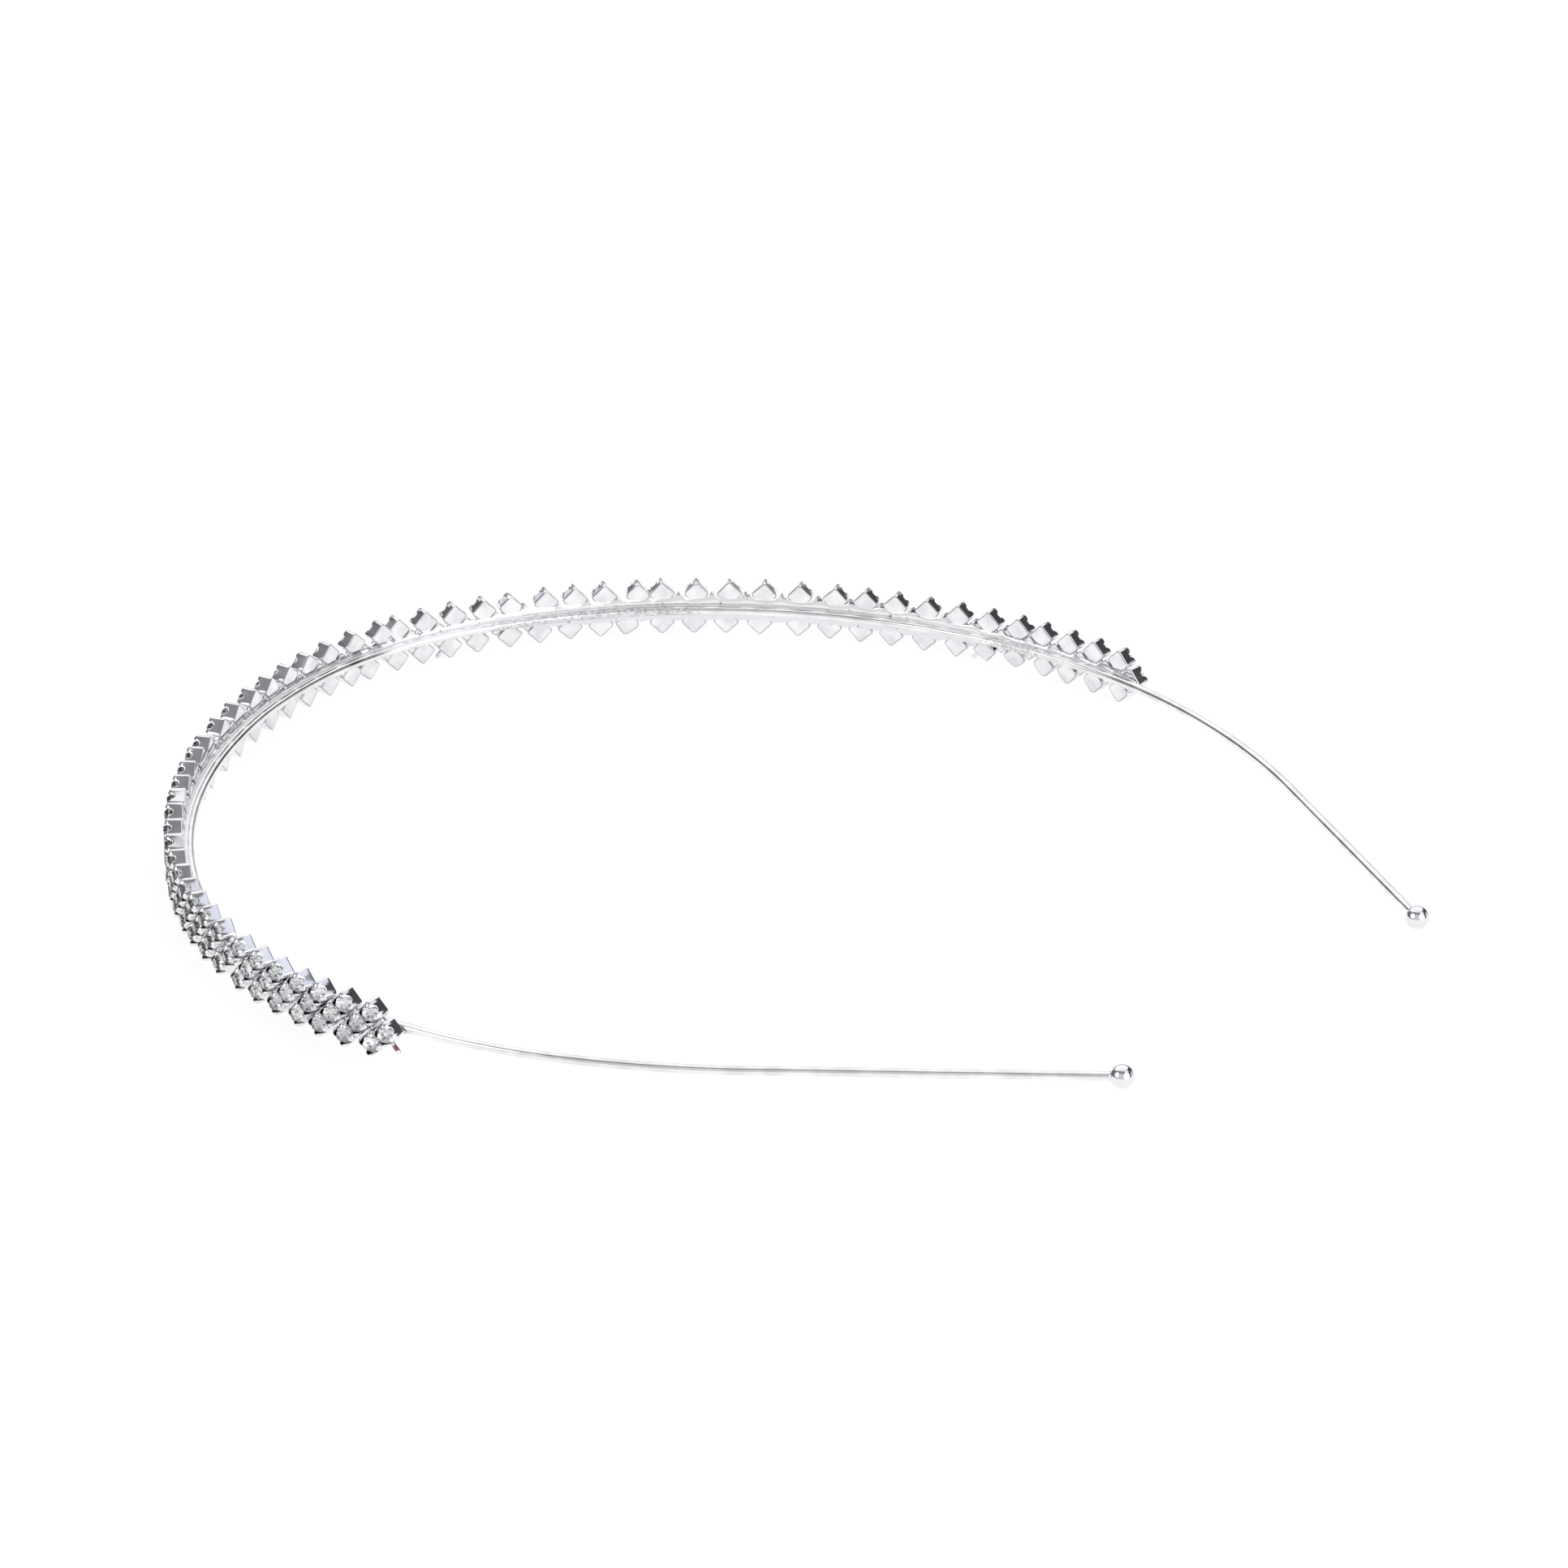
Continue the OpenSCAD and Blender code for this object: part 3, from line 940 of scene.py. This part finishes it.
def make_tin_coat(material):
    """Rough tin that stayed on the wire itself over two stretches of the left arm."""
    stretches = ((22.0, 57.0), (88.0, 104.0))
    around = 18
    step = 0.25
    thinning = 6
    sunk, thickness, roughness = 0.05, 0.07, 0.05
    for number, (start, end) in enumerate(stretches):
        count = int((end - start) / step)
        rings = []
        for k in range(count + 1):
            s = start + (end - start) * k / count
            place = on_wire(s)
            taper = tapered(s, start, end, thinning)
            ring = []
            for n in range(around):
                a = 2 * math.pi * n / around
                out, high = math.cos(a), math.sin(a)
                spot = Vector((s * 1.6, high * 2.4, out * 2.4 + 9 * number))
                lumps = noise.fractal(spot, 1.0, 2.0, 3)
                reach = WIRE_R - sunk + thickness * taper + roughness * lumps
                ring.append(place @ Vector((0, high * reach, out * reach)))
            rings.append(ring)
        settle_mesh(tube_mesh(f"tin_coat_{number}", rings, sharp_degrees=60), material)


def make_ball(name, node, s, material):
    """Ball on the wire's uncovered end, with a small collar of plating where the wire goes in."""
    inward = -1 if s > 0 else 1
    place = on_wire(s)
    rings = 32
    around = 48
    r = BALL_D / 2
    mouth_r = WIRE_R + 0.1
    # Distance of the collar's edges from the ball, and how far they stand off the wire
    collar = ((0.22, 0.01), (0.08, 0.05))
    # Profile from the neck round to the far pole: distance along the wire, radius
    start = math.asin(mouth_r / r)
    profile = [(r * math.cos(start) + ahead, WIRE_R + off) for ahead, off in collar]
    for k in range(rings):
        a = start + (math.pi - start) * k / rings
        profile.append((r * math.cos(a), r * math.sin(a)))
    points = []
    for distance, reach in profile:
        for k in range(around):
            a = 2 * math.pi * k / around
            # Local X runs towards the right arm, so the wire comes in from +X at the left end
            spot = Vector((-inward * distance, reach * math.cos(a), reach * math.sin(a)))
            points.append(place @ spot)
    points.append(place @ Vector((inward * r, 0, 0)))
    points.append(place @ Vector((-inward * profile[0][0], 0, 0)))
    pole, mouth = len(points) - 2, len(points) - 1
    last = (len(profile) - 1) * around
    faces = ring_faces(len(profile), around)
    faces += [(pole, last + (k + 1) % around, last + k) for k in range(around)]
    faces += [(mouth, k, (k + 1) % around) for k in range(around)]
    settle_mesh(make_mesh(name, points, faces, sharp_degrees=70), material, node)


# Studio


def soft_patch(tree, direction, azimuth, elevation, radius, edge):
    """1 inside a round patch of the studio's light and 0 outside, with a soft edge, from angles in
    degrees."""
    a, e = math.radians(azimuth), math.radians(elevation)
    axis = (math.cos(e) * math.cos(a), math.cos(e) * math.sin(a), math.sin(e))
    toward = add(tree, "ShaderNodeVectorMath", [(direction, 0)], operation="DOT_PRODUCT")
    toward.inputs[1].default_value = axis
    mask = add(tree, "ShaderNodeMapRange", [(toward.outputs["Value"], "Value")],
               interpolation_type="SMOOTHSTEP", From_Min=math.cos(math.radians(radius + edge)),
               From_Max=math.cos(math.radians(radius - edge)))
    return mask.outputs["Result"]


def make_studio():
    """A white sheet overhead and behind, a soft box on each side of the camera, and a dim room."""
    world = bpy.data.worlds.new("studio")
    bpy.context.scene.world = world
    world.use_nodes = True
    tree = world.node_tree
    tree.nodes.clear()
    direction = add(tree, "ShaderNodeTexCoord").outputs["Generated"]
    # Azimuth from +X, elevation, radius and softness in degrees, and red, green and blue. A later
    # patch covers an earlier one.
    room = (0.07, 0.07, 0.073)
    patches = (
        (-100, 55, 50, 40, (0.3, 0.3, 0.32)),     # lighter ceiling at the front left
        (-60, 8, 44, 6, (0.72, 0.72, 0.73)),      # grey wall behind the camera
        (55, 2, 20, 6, (0.65, 0.65, 0.67)),       # grey wall at the right
        (125, 0, 30, 8, (0.42, 0.42, 0.44)),      # darker wall behind the table
        (166, 12, 7, 3, (0.85, 0.85, 0.92)),      # pale lavender card at the back left
        (135, 56, 41, 2.5, (1.2, 1.2, 1.22)),     # white sheet overhead and behind
        (22, 54, 18.2, 3, (0.92, 0.94, 1.05)),    # pale lavender card high at the right
        (0, 90, 15, 4, (1.05, 1.05, 1.08)),       # white panel straight above
        (-115, 29, 20, 3, (1.8, 1.8, 1.82)),      # soft box left of the camera
        (-8, 23, 29, 3, (1.8, 1.8, 1.8)),         # soft box right of the camera
        (0, -90, 88, 3, (1.0, 1.0, 1.0)),         # the table, as far as the horizon
    )
    colour = None
    for azimuth, elevation, radius, edge, light in patches:
        mask = soft_patch(tree, direction, azimuth, elevation, radius, edge)
        mix = add(tree, "ShaderNodeMix", [(mask, "Factor")], data_type="RGBA",
                  A=(*room, 1), B=(*light, 1))
        if colour is not None:
            tree.links.new(colour, mix.inputs["A"])
        colour = mix.outputs["Result"]
    # Matt surfaces get an even white fill, and the camera sees a plain white wall beyond the table
    fill, wall = (0.68, 0.68, 0.68, 1), (1.0, 1.0, 1.0, 1)
    rays = add(tree, "ShaderNodeLightPath").outputs
    mirrored = add(tree, "ShaderNodeMath", [
        (rays["Is Glossy Ray"], 0), (rays["Is Transmission Ray"], 1)], operation="MAXIMUM")
    seen = add(tree, "ShaderNodeMix", [(mirrored.outputs["Value"], "Factor"), (colour, "B")],
               data_type="RGBA", A=fill)
    shown = add(tree, "ShaderNodeMix", [
        (rays["Is Camera Ray"], "Factor"), (seen.outputs["Result"], "A")], data_type="RGBA", B=wall)
    light = add(tree, "ShaderNodeBackground", [(shown.outputs["Result"], "Color")], Strength=1.0)
    add(tree, "ShaderNodeOutputWorld", [(light.outputs["Background"], "Surface")])


def make_table():
    """A plain white table top, far larger than the picture."""
    reach = 6.0  # metres
    corners = [(-reach, -reach, 0), (reach, -reach, 0), (reach, reach, 0), (-reach, reach, 0)]
    mesh = bpy.data.meshes.new("table_top")
    mesh.from_pydata(corners, [], [(0, 1, 2, 3)])
    mesh.materials.append(opal_table())
    link("table_top", mesh)


def make_camera():
    """The photograph's view: 25 degrees above the table, from the right of the open end."""
    crown_shift = Vector((-ORIGIN[0], -ORIGIN[1], 0))
    eye = Vector(EYE) + crown_shift
    aim = Vector(AIM) + crown_shift
    data = bpy.data.cameras.new("camera")
    data.sensor_fit = "HORIZONTAL"
    data.sensor_width = SENSOR_MM
    data.lens = FOCAL_PX * SENSOR_MM / FRAME_PX
    data.clip_start = 0.01
    data.clip_end = 50
    camera = link("camera", data)
    camera.location = eye * MM
    camera.rotation_euler = (aim - eye).to_track_quat("-Z", "Y").to_euler()
    bpy.context.scene.camera = camera


bpy.context.scene.view_settings.view_transform = "Standard"
make_camera()
make_studio()
make_table()
SILVER = silver_plated_brass()
POLISH = polished_ball()
SCATTER = scatter_tree()
make_cups(SCATTER, SILVER, cup_inside_shade())
make_stones(SCATTER, cut_glass(), silver_foil())
make_bars(SCATTER, SILVER)
make_cut_ends(SCATTER, SILVER, cut_copper())
make_wire(sweep_tree(), silver_plated_wire())
make_seam(plated_solder())
make_tin_coat(raw_tin())
make_ball("left_ball", "ball_tip_left", LEFT_END, POLISH)
make_ball("right_ball", "ball_tip_right", RIGHT_END, POLISH)
